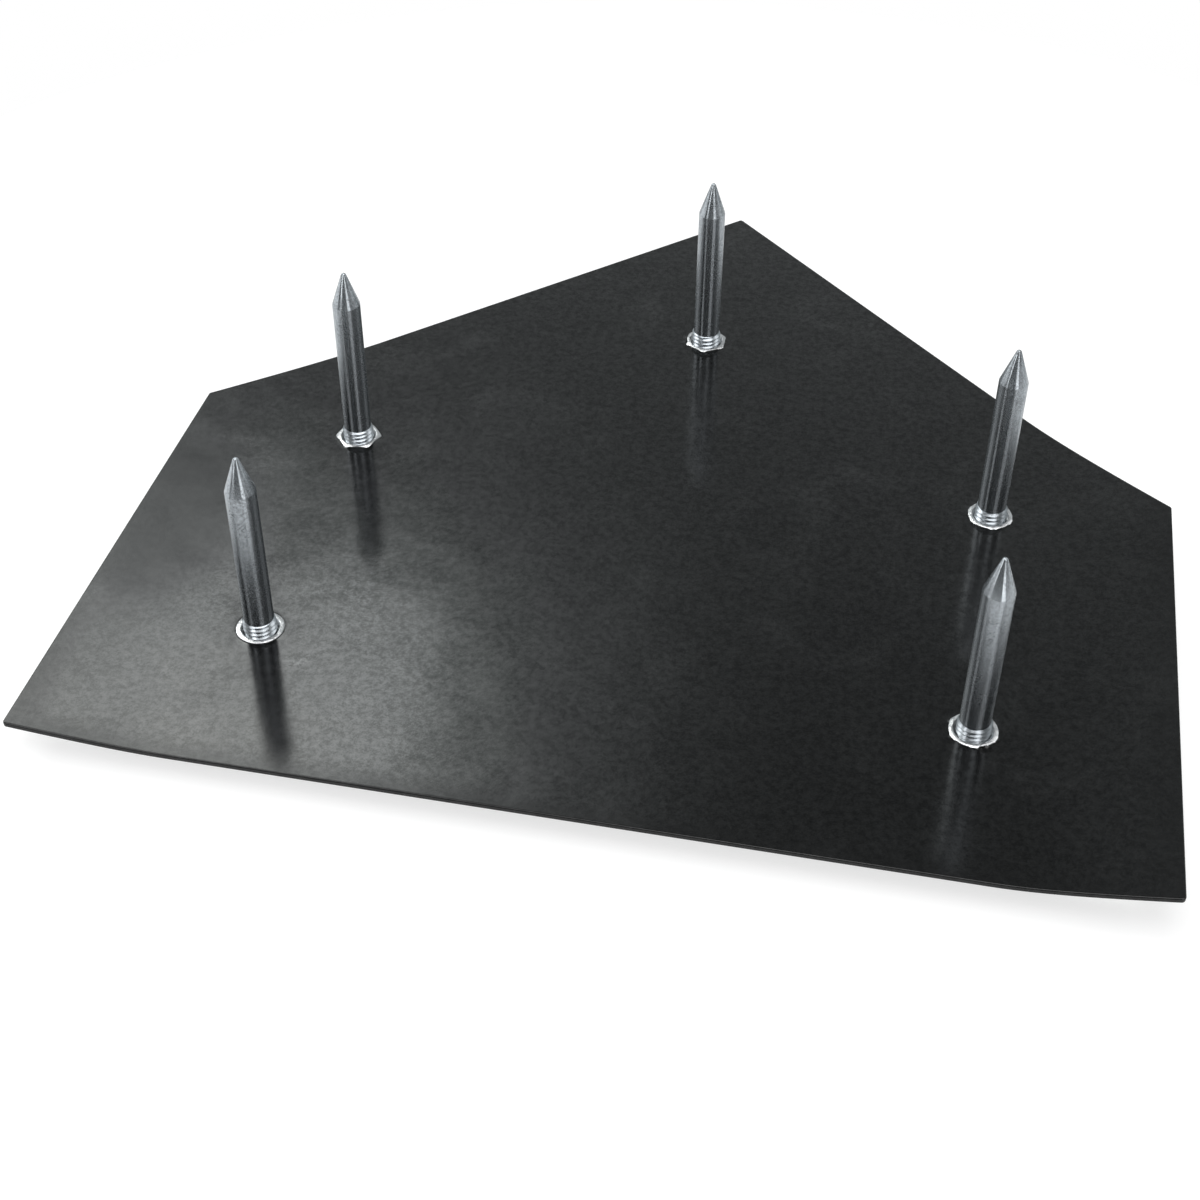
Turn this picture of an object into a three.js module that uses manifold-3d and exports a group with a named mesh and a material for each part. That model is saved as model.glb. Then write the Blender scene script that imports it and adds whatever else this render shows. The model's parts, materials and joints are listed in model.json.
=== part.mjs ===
// A rubber home plate with five screw-in ground spikes, lying on its playing face with the spikes up.
// Millimetres, +Z up. The origin is on the playing face, below the middle of the plate's outline.

import * as THREE from "three";
import { mergeVertices } from "three/addons/utils/BufferGeometryUtils.js";
import Module from "manifold-3d";

// White playing face: a five-sided sheet with its front edge on y = 0 and its point at the back
const FACE_WIDTH = 431.8;
const FACE_SIDE = 215.9;
const FACE_DEPTH = 431.8;
const FACE_THICKNESS = 3.175;
const FACE_CORNER_RADIUS = 1;

// Black rubber base: a flat border round the face, a bevel that spreads from it, and an upright rim
const PLATE_THICKNESS = 12.7;
const FACE_BORDER = 1;
const BEVEL_RUN = 11.7;
const RIM_HEIGHT = 2;
const RIM_BREAK = 0.4;
const PLATE_CORNER_RADIUS = 1.6;

// Distances of the anchors from the face's sides, front edge, shoulders and point
const SPIKE_FROM_SIDE = 66.7;
const SPIKE_FROM_FRONT = 66.7;
const SPIKE_FROM_SHOULDER = 8;
const SPIKE_FROM_POINT = 108;

// Turned steel spike: threaded end, plain shank and pencil point
const SPIKE_LENGTH = 98.4;
const SHANK_DIAMETER = 12.7;
const THREAD_DIAMETER = 14.3;
const THREAD_LENGTH = 15.3;
const THREAD_END_CHAMFER = 1.4;
const SHOULDER_CHAMFER = 0.6;
const POINT_LENGTH = 15.9;
const TIP_DIAMETER = 1.8;
const TIP_ROUND = 0.5;

// Hex nut moulded into the base, and the wide washer behind it
const NUT_ACROSS_FLATS = 19.05;
const NUT_HEIGHT = 7.9;
const NUT_FACE_DIAMETER = 19;
const NUT_CHAMFER_DEGREES = 30;
const NUT_COUNTERSINK = 0.5;
const WASHER_DIAMETER = 38.1;
const WASHER_BORE = 15.3;
const WASHER_THICKNESS = 2.2;

// Clearances between pieces that touch on the real plate
const MOULD_GAP = 0.3;
const THREAD_CLEARANCE = 0.3;
const SPIKE_SEAT_GAP = 0.3;

// Facets of round forms, the overrun of cutting bodies and the distance within which points are one
const ROUND_SEGMENTS = 36;
const CORNER_SEGMENTS = 5;
const HEX_SIDES = 6;
const CUT_OVERRUN = 1;
const WELD_DISTANCE = 1e-4;

// Places of the five anchors, each with the turn of its nut in degrees from a corner towards +X
const SIDE_X = FACE_WIDTH / 2 - SPIKE_FROM_SIDE;
const SHOULDER_Y = FACE_SIDE - SPIKE_FROM_SHOULDER;
const ANCHORS = [
  { place: "front_left", x: -SIDE_X, y: SPIKE_FROM_FRONT, nutTurn: 24 },
  { place: "shoulder_left", x: -SIDE_X, y: SHOULDER_Y, nutTurn: 11 },
  { place: "point", x: 0, y: FACE_DEPTH - SPIKE_FROM_POINT, nutTurn: 30 },
  { place: "shoulder_right", x: SIDE_X, y: SHOULDER_Y, nutTurn: 41 },
  { place: "front_right", x: SIDE_X, y: SPIKE_FROM_FRONT, nutTurn: 36 },
];

// Levels that the pieces share
const WASHER_TOP = FACE_THICKNESS + WASHER_THICKNESS;
const NUT_TOP = WASHER_TOP + NUT_HEIGHT;
const SPIKE_END = FACE_THICKNESS + SPIKE_SEAT_GAP;
const SPIKE_TIP = SPIKE_END + SPIKE_LENGTH;

const wasm = await Module();
wasm.setup();

const RUBBER_BLACK = { color: 0x2b2c2e, roughness: 0.45, metalness: 0 };
const RUBBER_WHITE = { color: 0xe9e8e3, roughness: 0.6, metalness: 0 };
const ZINC_STEEL = { color: 0xb9bcbf, roughness: 0.3, metalness: 1 };
const PLAIN_STEEL = { color: 0x8f9295, roughness: 0.4, metalness: 1 };

function toSolid(geometry) {
  const bare = geometry.clone();
  bare.deleteAttribute("normal");
  bare.deleteAttribute("uv");
  const merged = mergeVertices(bare, WELD_DISTANCE);
  const vertProperties = merged.getAttribute("position").array;
  const triVerts = new Uint32Array(merged.index.array);
  return new wasm.Manifold(new wasm.Mesh({ numProp: 3, vertProperties, triVerts }));
}

function toGeometry(solid) {
  const { vertProperties, triVerts } = solid.getMesh();
  const geometry = new THREE.BufferGeometry();
  geometry.setAttribute("position", new THREE.BufferAttribute(vertProperties, 3));
  geometry.setIndex(new THREE.BufferAttribute(triVerts, 1));
  geometry.computeVertexNormals();
  return geometry;
}

// A closed solid of revolution about Z, from [radius, height] points that go round its section
function turned(profile) {
  const points = profile.map(([radius, height]) => new THREE.Vector2(radius, height));
  return new THREE.LatheGeometry(points, ROUND_SEGMENTS).rotateX(Math.PI / 2);
}

function disc(diameter, bottom, top) {
  const radius = diameter / 2;
  return turned([[0, bottom], [radius, bottom], [radius, top], [0, top]]);
}

// A six-sided prism along Z, with a corner towards +X before its turn
function hexPrism(acrossFlats, bottom, top, turnDegrees) {
  const cornerRadius = acrossFlats / Math.sqrt(3);
  const prism = new THREE.CylinderGeometry(cornerRadius, cornerRadius, top - bottom, HEX_SIDES);
  prism.rotateX(Math.PI / 2);
  prism.rotateZ(THREE.MathUtils.degToRad(turnDegrees - 90));
  return prism.translate(0, 0, (bottom + top) / 2);
}

// A closed solid through outlines stacked upwards along Z, each with the same number of points
function loft(levels) {
  const count = levels[0].points.length;
  const positions = levels.flatMap(({ points, z }) => points.flatMap(({ x, y }) => [x, y, z]));
  const last = (levels.length - 1) * count;
  const index = [];
  for (const [a, b, c] of THREE.ShapeUtils.triangulateShape(levels[0].points, [])) {
    index.push(c, b, a);
    index.push(last + a, last + b, last + c);
  }
  for (let low = 0; low < last; low += count) {
    const high = low + count;
    for (let i = 0; i < count; i += 1) {
      const next = (i + 1) % count;
      index.push(low + i, low + next, high + next);
      index.push(low + i, high + next, high + i);
    }
  }
  const geometry = new THREE.BufferGeometry();
  geometry.setAttribute("position", new THREE.Float32BufferAttribute(positions, 3));
  return geometry.setIndex(index);
}

// The face's outline, moved outwards by a distance and rounded at its corners, anticlockwise
function plateOutline(offset, cornerRadius) {
  const half = FACE_WIDTH / 2;
  const corners = [
    new THREE.Vector2(-half, 0),
    new THREE.Vector2(half, 0),
    new THREE.Vector2(half, FACE_SIDE),
    new THREE.Vector2(0, FACE_DEPTH),
    new THREE.Vector2(-half, FACE_SIDE),
  ];
  const normals = corners.map((corner, i) => {
    const along = corners[(i + 1) % corners.length].clone().sub(corner).normalize();
    return new THREE.Vector2(along.y, -along.x);
  });
  const shape = new THREE.Shape();
  corners.forEach((corner, i) => {
    const before = normals[(i + corners.length - 1) % corners.length];
    const after = normals[i];
    const mitre = before.clone().add(after).divideScalar(1 + before.dot(after));
    const centre = corner.clone().addScaledVector(mitre, offset - cornerRadius);
    shape.absarc(centre.x, centre.y, cornerRadius, before.angle(), after.angle(), false);
  });
  shape.closePath();
  const points = shape.extractPoints(CORNER_SEGMENTS).shape;
  return points[0].equals(points.at(-1)) ? points.slice(0, -1) : points;
}

function faceSheet() {
  const points = plateOutline(0, FACE_CORNER_RADIUS);
  return loft([{ points, z: 0 }, { points, z: FACE_THICKNESS }]);
}

// The base before its tray and pockets are cut: border, bevel, rim and broken edge, from the floor up
function baseSlab() {
  const border = plateOutline(FACE_BORDER, PLATE_CORNER_RADIUS);
  const rim = plateOutline(FACE_BORDER + BEVEL_RUN, PLATE_CORNER_RADIUS);
  const broken = plateOutline(FACE_BORDER + BEVEL_RUN - RIM_BREAK, PLATE_CORNER_RADIUS - RIM_BREAK);
  return loft([
    { points: border, z: 0 },
    { points: rim, z: PLATE_THICKNESS - RIM_HEIGHT },
    { points: rim, z: PLATE_THICKNESS - RIM_BREAK },
    { points: broken, z: PLATE_THICKNESS },
  ]);
}

function trayCutter() {
  const points = plateOutline(MOULD_GAP, FACE_CORNER_RADIUS + MOULD_GAP);
  return loft([{ points, z: -CUT_OVERRUN }, { points, z: FACE_THICKNESS }]);
}

// A round pocket for the washer, and above it a six-sided one that lets the nut's face out
function anchorPocketCutters({ x, y, nutTurn }) {
  const washerPocket = disc(
    WASHER_DIAMETER + 2 * MOULD_GAP,
    FACE_THICKNESS - CUT_OVERRUN,
    WASHER_TOP + MOULD_GAP,
  );
  const nutPocket = hexPrism(
    NUT_ACROSS_FLATS + 2 * MOULD_GAP,
    FACE_THICKNESS,
    PLATE_THICKNESS + CUT_OVERRUN,
    nutTurn,
  );
  return [washerPocket, nutPocket].map((cutter) => cutter.translate(x, y, 0));
}

function rubberBase() {
  const cutters = [trayCutter(), ...ANCHORS.flatMap(anchorPocketCutters)];
  const slab = toSolid(baseSlab());
  return toGeometry(cutters.reduce((solid, cutter) => solid.subtract(toSolid(cutter)), slab));
}

function washer() {
  const inner = WASHER_BORE / 2;
  const outer = WASHER_DIAMETER / 2;
  return turned([
    [inner, FACE_THICKNESS],
    [outer, FACE_THICKNESS],
    [outer, WASHER_TOP],
    [inner, WASHER_TOP],
    [inner, FACE_THICKNESS],
  ]);
}

// A hex nut with chamfered corners at both faces and a countersunk bore
function hexNut(turnDegrees) {
  const cornerRadius = NUT_ACROSS_FLATS / Math.sqrt(3);
  const faceRadius = NUT_FACE_DIAMETER / 2;
  const chamferDrop = (cornerRadius - faceRadius) * Math.tan(THREE.MathUtils.degToRad(NUT_CHAMFER_DEGREES));
  const boreRadius = THREAD_DIAMETER / 2 + THREAD_CLEARANCE;
  const mouthRadius = boreRadius + NUT_COUNTERSINK + CUT_OVERRUN;
  const chamfer = turned([
    [0, WASHER_TOP],
    [faceRadius, WASHER_TOP],
    [cornerRadius, WASHER_TOP + chamferDrop],
    [cornerRadius, NUT_TOP - chamferDrop],
    [faceRadius, NUT_TOP],
    [0, NUT_TOP],
  ]);
  const bore = turned([
    [0, WASHER_TOP - CUT_OVERRUN],
    [mouthRadius, WASHER_TOP - CUT_OVERRUN],
    [boreRadius, WASHER_TOP + NUT_COUNTERSINK],
    [boreRadius, NUT_TOP - NUT_COUNTERSINK],
    [mouthRadius, NUT_TOP + CUT_OVERRUN],
    [0, NUT_TOP + CUT_OVERRUN],
  ]);
  const prism = toSolid(hexPrism(NUT_ACROSS_FLATS, WASHER_TOP, NUT_TOP, turnDegrees));
  return toGeometry(prism.intersect(toSolid(chamfer)).subtract(toSolid(bore)));
}

function spike() {
  const threadRadius = THREAD_DIAMETER / 2;
  const shankRadius = SHANK_DIAMETER / 2;
  const tipRadius = TIP_DIAMETER / 2;
  const threadTop = SPIKE_END + THREAD_LENGTH;
  return turned([
    [0, SPIKE_END],
    [threadRadius - THREAD_END_CHAMFER, SPIKE_END],
    [threadRadius, SPIKE_END + THREAD_END_CHAMFER],
    [threadRadius, threadTop],
    [shankRadius, threadTop + SHOULDER_CHAMFER],
    [shankRadius, SPIKE_TIP - POINT_LENGTH],
    [tipRadius, SPIKE_TIP - TIP_ROUND],
    [tipRadius - TIP_ROUND, SPIKE_TIP],
    [0, SPIKE_TIP],
  ]);
}

function piece(name, geometry, finish) {
  const mesh = new THREE.Mesh(geometry, new THREE.MeshStandardMaterial(finish));
  mesh.name = name;
  return mesh;
}

// The washer, nut and spike of one anchor, on its axis
function anchor({ place, x, y, nutTurn }) {
  const group = new THREE.Group();
  group.add(piece(`anchor_washer_${place}`, washer(), PLAIN_STEEL));
  group.add(piece(`anchor_nut_${place}`, hexNut(nutTurn), ZINC_STEEL));
  group.add(piece(`spike_${place}`, spike(), ZINC_STEEL));
  group.position.set(x, y, 0);
  return group;
}

const rimOutline = plateOutline(FACE_BORDER + BEVEL_RUN, PLATE_CORNER_RADIUS);
const outlineCentre = new THREE.Box2().setFromPoints(rimOutline).getCenter(new THREE.Vector2());
const homePlate = new THREE.Group();
homePlate.add(piece("rubber_base", rubberBase(), RUBBER_BLACK));
homePlate.add(piece("white_face", faceSheet(), RUBBER_WHITE));
ANCHORS.forEach((place) => homePlate.add(anchor(place)));
homePlate.position.y = -outlineCentre.y;

export default homePlate;
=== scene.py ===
"""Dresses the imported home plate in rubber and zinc-plated steel and sets it on a studio floor.

The plate lies on its white playing face with its five screw-in spikes up. Everything is in metres, in the
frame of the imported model: +Z along the spikes, +Y from the straight front edge towards the plate's point.
"""

import json
from math import atan2, ceil, cos, exp, hypot, pi, radians, sin, tan

import bmesh
import bpy
from bmesh.types import BMEdge, BMFace, BMVert
from bpy.props import FloatProperty, FloatVectorProperty, PointerProperty
from bpy.types import Operator, Panel, PropertyGroup
from mathutils import Matrix, Vector, noise


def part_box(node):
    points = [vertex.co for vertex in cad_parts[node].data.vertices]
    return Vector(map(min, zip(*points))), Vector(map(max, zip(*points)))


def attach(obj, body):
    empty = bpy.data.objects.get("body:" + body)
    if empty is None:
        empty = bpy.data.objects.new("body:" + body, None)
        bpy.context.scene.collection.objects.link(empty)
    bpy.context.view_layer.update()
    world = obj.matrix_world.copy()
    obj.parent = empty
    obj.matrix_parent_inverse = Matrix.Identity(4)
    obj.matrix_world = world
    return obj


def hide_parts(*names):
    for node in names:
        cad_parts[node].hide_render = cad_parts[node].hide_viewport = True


bl_info = {
    "name": "Home Plate",
    "version": (1, 0, 0),
    "blender": (4, 5, 0),
    "location": "3D View > Sidebar > Home Plate",
    "description": "Models and finishes a rubber home plate with screw-in ground spikes",
    "category": "Object",
}

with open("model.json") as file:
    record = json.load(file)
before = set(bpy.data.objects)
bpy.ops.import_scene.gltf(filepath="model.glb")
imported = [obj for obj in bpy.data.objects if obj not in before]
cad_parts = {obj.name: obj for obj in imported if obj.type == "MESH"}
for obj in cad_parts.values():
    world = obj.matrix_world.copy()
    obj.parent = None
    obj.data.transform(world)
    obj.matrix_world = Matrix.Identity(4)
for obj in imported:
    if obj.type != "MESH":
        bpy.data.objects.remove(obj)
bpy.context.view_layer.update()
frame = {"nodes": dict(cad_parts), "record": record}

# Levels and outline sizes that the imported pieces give
BOX = {name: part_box(name) for name in frame["nodes"]}
FACE_LOW, FACE_HIGH = BOX["white_face"]
BASE_LOW, BASE_HIGH = BOX["rubber_base"]
FACE_WIDTH = FACE_HIGH.x - FACE_LOW.x
FACE_TOP = FACE_HIGH.z
UNDERSIDE = BASE_HIGH.z
SPREAD = FACE_LOW.x - BASE_LOW.x

# The five anchors, each with a washer, a nut and a spike
PLACES = [name.removeprefix("spike_") for name in sorted(frame["nodes"]) if name.startswith("spike_")]
AXIS = {place: (BOX[f"spike_{place}"][0] + BOX[f"spike_{place}"][1]) / 2 for place in PLACES}
BODY_OF = {node: body for body, nodes in frame["record"]["behaviour"]["bodies"].items() for node in nodes}

# Facets of round forms
RING_STEPS = 96
SPIN_STEPS = 72
# Points this close are one, and points this close to a plane or a corner lie on it
WELD = 1e-6
ON_PLANE = 1e-7
AT_CORNER = 1e-5
# Edges that turn by more than this are shaded sharp
SHARP_ANGLE = radians(32)
# Width of a band round each flat face that keeps the shading of its rounded edge out of it
SUPPORT_BAND = 0.0006
# Width of the strips into which the curled rubber is cut
CURL_STEP = 0.004
# How far a pocket's rings reach in the underside, and the depths between which lip turns to hexagon
POCKET_REACH = 0.0138
LIP_DEPTH = 0.002
HEX_DEPTH = 0.003
# A nut's collar: its height, and the chamfer of a fully round one
COLLAR_HEIGHT = 0.0012
COLLAR_CHAMFER = 0.0003
# Depth of the groove in a nut, and the break of its mouth's edge
NUT_GROOVE = 0.0008
EDGE_BREAK = 0.0001
# Each spike is screwed home at another angle
SPIKE_TURN = radians(137.5)
# What the curled face keeps clear of the washers behind it
WASHER_RELIEF = 0.0002
# How far the paper's pile comes up round the plate, so that face and floor don't share a plane
FLOOR_RISE = 0.0001
# Within this distance of the paper, the curled face gets light from below it
PAPER_GLOW_REACH = 0.015


# Sizes and colours that a user would change


class BaseSettings(PropertyGroup):
    rim_height: FloatProperty(
        name="Rim Height", description="Height of the upright rim above the bevel",
        default=0.002, min=0.0005, unit="LENGTH", precision=4)
    bevel_run: FloatProperty(
        name="Bevel Run", description="How far the bevel spreads from the border to the rim",
        default=0.0117, min=0.001, unit="LENGTH", precision=4)
    corner_radius: FloatProperty(
        name="Corner Radius", description="Rounding of the plate's five corners",
        default=0.0016, min=0.0005, unit="LENGTH", precision=4)
    edge_radius: FloatProperty(
        name="Edge Radius", description="Rounding of the rim's edges",
        default=0.0005, min=0.0001, unit="LENGTH", precision=4)
    mould_gap: FloatProperty(
        name="Mould Gap", description="Gap between the rubber and what is moulded into it",
        default=0.0003, min=0.0001, unit="LENGTH", precision=4)
    lip_width: FloatProperty(
        name="Lip Width", description="Width of the rubber lip that swells round each nut",
        default=0.0008, min=0.0002, unit="LENGTH", precision=4)
    lip_swell: FloatProperty(
        name="Lip Swell", description="Height of that lip above the underside",
        default=0.00004, min=0.0, unit="LENGTH", precision=5)
    curl_start: FloatProperty(
        name="Curl Start", description="Distance from the middle line at which the curl starts",
        default=0.160, min=0.05, unit="LENGTH", precision=3)
    curl_softness: FloatProperty(
        name="Curl Softness", description="Share of the curl over which it bends rather than runs straight",
        default=0.5, min=0.01, max=1.0)
    curl_left: FloatProperty(
        name="Left Curl", description="Height by which the left rim has curled off the floor",
        default=0.0044, min=0.0, unit="LENGTH", precision=4)
    curl_right: FloatProperty(
        name="Right Curl", description="Height by which the right rim has curled off the floor",
        default=0.00755, min=0.0, unit="LENGTH", precision=4)
    rubber: FloatVectorProperty(
        name="Rubber", description="Colour of clean black rubber",
        subtype="COLOR", default=(0.0028, 0.0029, 0.0030), min=0.0, max=1.0)
    bloom: FloatVectorProperty(
        name="Bloom", description="Colour of rubber under the pale film that handling leaves",
        subtype="COLOR", default=(0.0110, 0.0114, 0.0114), min=0.0, max=1.0)


class FaceSettings(PropertyGroup):
    corner_radius: FloatProperty(
        name="Corner Radius", description="Rounding of the face's five corners",
        default=0.001, min=0.0002, unit="LENGTH", precision=4)
    edge_radius: FloatProperty(
        name="Edge Radius", description="Rounding of the face's outer edge",
        default=0.0005, min=0.0001, unit="LENGTH", precision=4)
    rubber: FloatVectorProperty(
        name="Rubber", description="Colour of clean white rubber",
        subtype="COLOR", default=(0.80, 0.79, 0.75), min=0.0, max=1.0)
    soil: FloatVectorProperty(
        name="Soil", description="Colour of the dust worked into the white rubber",
        subtype="COLOR", default=(0.56, 0.52, 0.45), min=0.0, max=1.0)


class NutSettings(PropertyGroup):
    across_flats: FloatProperty(
        name="Across Flats", description="Width of the hex nut from flat to flat",
        default=0.01905, min=0.01, unit="LENGTH", precision=5)
    face_diameter: FloatProperty(
        name="Face Diameter", description="Diameter of the nut's flat face inside its corner chamfer",
        default=0.019, min=0.01, unit="LENGTH", precision=4)
    chamfer: FloatProperty(
        name="Chamfer", description="Slope of the corner chamfer",
        default=radians(30), subtype="ANGLE")
    countersink: FloatProperty(
        name="Countersink", description="Depth of the countersunk mouth of the thread",
        default=0.0009, min=0.0001, unit="LENGTH", precision=4)
    bore_radius: FloatProperty(
        name="Bore Radius", description="Inner radius of the nut's thread, clear of the spike",
        default=0.00735, min=0.003, unit="LENGTH", precision=5)
    zinc: FloatVectorProperty(
        name="Zinc", description="Colour of the zinc plating",
        subtype="COLOR", default=(0.74, 0.75, 0.76), min=0.0, max=1.0)


class SpikeSettings(PropertyGroup):
    pitch: FloatProperty(
        name="Pitch", description="Pitch of the coarse 9/16 in thread",
        default=0.0254 / 12, min=0.0005, unit="LENGTH", precision=5)
    thread_depth: FloatProperty(
        name="Thread Depth", description="Depth of the thread's groove",
        default=0.0013, min=0.0001, unit="LENGTH", precision=5)
    thread_length: FloatProperty(
        name="Thread Length", description="Length of the threaded end",
        default=0.0153, min=0.005, unit="LENGTH", precision=4)
    shank_diameter: FloatProperty(
        name="Shank Diameter", description="Diameter of the plain shank",
        default=0.0127, min=0.005, unit="LENGTH", precision=4)
    end_chamfer: FloatProperty(
        name="End Chamfer", description="Chamfer at the threaded end",
        default=0.0014, min=0.0001, unit="LENGTH", precision=4)
    point_length: FloatProperty(
        name="Point Length", description="Length of the pencil point",
        default=0.0159, min=0.005, unit="LENGTH", precision=4)
    tip_diameter: FloatProperty(
        name="Tip Diameter", description="Diameter of the blunt tip",
        default=0.0018, min=0.0002, unit="LENGTH", precision=4)
    zinc: FloatVectorProperty(
        name="Zinc", description="Colour of the zinc plating",
        subtype="COLOR", default=(0.47, 0.505, 0.535), min=0.0, max=1.0)


class StageSettings(PropertyGroup):
    floor: FloatVectorProperty(
        name="Floor", description="Colour of the studio floor",
        subtype="COLOR", default=(0.80, 0.80, 0.80), min=0.0, max=1.0)
    room: FloatProperty(
        name="Room Light", description="Brightness of the dim room round the lamps",
        default=0.03, min=0.0)
    horizon: FloatProperty(
        name="Horizon Light", description="Brightness that the room gains towards its walls",
        default=0.40, min=0.0)
    table: FloatProperty(
        name="Table Radius", description="Radius of the paper-covered table",
        default=0.55, min=0.35, unit="LENGTH")
    lens: FloatProperty(
        name="Lens", description="Focal length on a 36 mm sensor",
        default=57.078, min=10.0, unit="CAMERA")
    azimuth: FloatProperty(
        name="Azimuth", description="Turn of the camera towards +X from the plate's middle line",
        default=radians(11.2329), subtype="ANGLE")
    elevation: FloatProperty(
        name="Elevation", description="Height of the camera above the horizon",
        default=radians(40.8098), subtype="ANGLE")
    roll: FloatProperty(
        name="Roll", description="Turn of the picture about the lens axis",
        default=radians(0.4312), subtype="ANGLE")
    aim: FloatVectorProperty(
        name="Aim", description="Point on the underside that the lens axis meets",
        default=(-0.012485, -0.104307, UNDERSIDE), unit="LENGTH", precision=5)
    distance: FloatProperty(
        name="Distance", description="Distance of the camera from that point",
        default=0.818272, min=0.1, unit="LENGTH", precision=4)


class HomePlateSettings(PropertyGroup):
    base: PointerProperty(type=BaseSettings)
    face: PointerProperty(type=FaceSettings)
    nut: PointerProperty(type=NutSettings)
    spike: PointerProperty(type=SpikeSettings)
    stage: PointerProperty(type=StageSettings)


# Mesh helpers


def all_of(bm):
    return bm.verts[:] + bm.edges[:] + bm.faces[:]


def only(kind, geometry):
    return [item for item in geometry if isinstance(item, kind)]


def level_face(bm, level):
    """The largest flat face at a level."""
    bm.normal_update()
    found = [f for f in bm.faces if abs(f.calc_center_median().z - level) < WELD and abs(f.normal.z) > 0.99]
    return max(found, key=lambda f: f.calc_area())


def pulled(bm, face, rise):
    """Extrudes a face along Z and returns the copy that moved."""
    made = bmesh.ops.extrude_face_region(bm, geom=[face])["geom"]
    bmesh.ops.translate(bm, verts=only(BMVert, made), vec=(0, 0, rise))
    return only(BMFace, made)[0]


def rounded(bm, edges, radius, segments):
    bmesh.ops.bevel(
        bm, geom=edges, offset=radius, affect="EDGES", segments=segments,
        profile=0.5, material=-1, clamp_overlap=True)


def set_ring(verts, axis, turn, radius, height):
    """Moves points round an upright axis to a radius and a height, numbers or functions of the angle."""
    for vert in verts:
        angle = atan2(vert.co.y - axis.y, vert.co.x - axis.x) - turn
        reach, level = (size(angle) if callable(size) else size for size in (radius, height))
        vert.co = (axis.x + reach * cos(angle + turn), axis.y + reach * sin(angle + turn), level)


def next_ring(bm, edges, axis, turn, radius, height):
    """Extrudes an edge loop to a new ring and returns its edges."""
    made = bmesh.ops.extrude_edge_only(bm, edges=edges)["geom"]
    set_ring(only(BMVert, made), axis, turn, radius, height)
    return only(BMEdge, made)


def grown_rings(bm, axis, turn, rings):
    """Bands of faces from ring to ring, each [radius, height]. Returns the first and last edge loops."""
    place = Matrix.Translation((*axis.xy, 0)) @ Matrix.Rotation(turn, 4, "Z")
    verts = bmesh.ops.create_circle(bm, segments=RING_STEPS, radius=1.0, matrix=place)["verts"]
    first = last = list(dict.fromkeys(edge for vert in verts for edge in vert.link_edges))
    set_ring(verts, axis, turn, *rings[0])
    for ring in rings[1:]:
        last = next_ring(bm, last, axis, turn, *ring)
    return first, last


def new_object(bm, name, materials):
    """Makes a bmesh an object at the origin."""
    mesh = bpy.data.meshes.new(name)
    bm.to_mesh(mesh)
    bm.free()
    for material in materials:
        mesh.materials.append(material)
    made = bpy.data.objects.new(name, mesh)
    bpy.context.scene.collection.objects.link(made)
    return made


def finish_piece(bm, name, materials, body, nodes):
    """Closes a bmesh, makes it a piece, hangs it on its body and hides the imported pieces that it stands
    for.
    """
    bmesh.ops.remove_doubles(bm, verts=bm.verts, dist=WELD)
    bmesh.ops.recalc_face_normals(bm, faces=bm.faces)
    piece = new_object(bm, name, materials)
    piece.data.shade_smooth()
    piece.data.set_sharp_from_angle(angle=SHARP_ANGLE)
    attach(piece, body)
    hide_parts(*nodes)


# Shapes of the plate


# The plate's corners by number, in the order below
SQUARE_CORNERS = (0, 1, 3)
SHOULDERS = (2, 4)


def plate_corners(spread):
    """The five corners of the face's outline, moved outwards, anticlockwise from the front left."""
    half = FACE_WIDTH / 2
    shoulder = FACE_LOW.y + half
    point = FACE_LOW.y + FACE_WIDTH
    flat = [Vector(xy) for xy in (
        (-half, FACE_LOW.y), (half, FACE_LOW.y), (half, shoulder), (0, point), (-half, shoulder))]
    moved = []
    for before, corner, after in zip(flat[-1:] + flat[:-1], flat, flat[1:] + flat[:1]):
        arriving = (corner - before).normalized()
        leaving = (after - corner).normalized()
        outwards = Vector((arriving.y + leaving.y, -arriving.x - leaving.x))
        moved.append(corner + outwards * spread / (1 + arriving.dot(leaving)))
    return moved


def outline_face(bm, spread, level):
    return bm.faces.new([bm.verts.new((x, y, level)) for x, y in plate_corners(spread)])


def corner_edges(bm, outer, inner, corners):
    """Edges that run down some of the plate's corners between two spreads."""
    spots = list(zip(plate_corners(outer), plate_corners(inner)))

    def down(edge, spot):
        return all(min((vert.co.xy - corner).length for corner in spot) < AT_CORNER for vert in edge.verts)

    steep = [edge for edge in bm.edges if abs(edge.verts[0].co.z - edge.verts[1].co.z) >= WELD]
    return [edge for edge in steep if any(down(edge, spots[index]) for index in corners)]


def round_corners(bm, outer, inner, radius):
    """Rounds the corners to one radius: the shoulders turn by half as much as the other three."""
    rounded(bm, corner_edges(bm, outer, inner, SQUARE_CORNERS), radius, 6)
    rounded(bm, corner_edges(bm, outer, inner, SHOULDERS), radius * tan(radians(22.5)), 4)


def curl_height(x, settings):
    """Height to which the rubber has curled up at a distance from the middle line: soft, then straight."""
    past = max(abs(x) - settings.curl_start, 0) / (BASE_HIGH.x - settings.curl_start)
    soft = settings.curl_softness
    rise = (hypot(past, soft) - soft) / (hypot(1, soft) - soft)
    return (settings.curl_left if x < 0 else settings.curl_right) * rise


def curl(bm, settings):
    """Cuts the rubber into strips beside its middle and lifts them, so both sides curl off the floor."""
    stations = int((BASE_HIGH.x - settings.curl_start) / CURL_STEP)
    for index in range(stations + 1):
        for side in (-1, 1):
            x = side * (settings.curl_start + index * CURL_STEP)
            bmesh.ops.bisect_plane(bm, geom=all_of(bm), dist=ON_PLANE, plane_co=(x, 0, 0), plane_no=(1, 0, 0))
    for vert in bm.verts:
        vert.co.z += curl_height(vert.co.x, settings)


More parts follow.
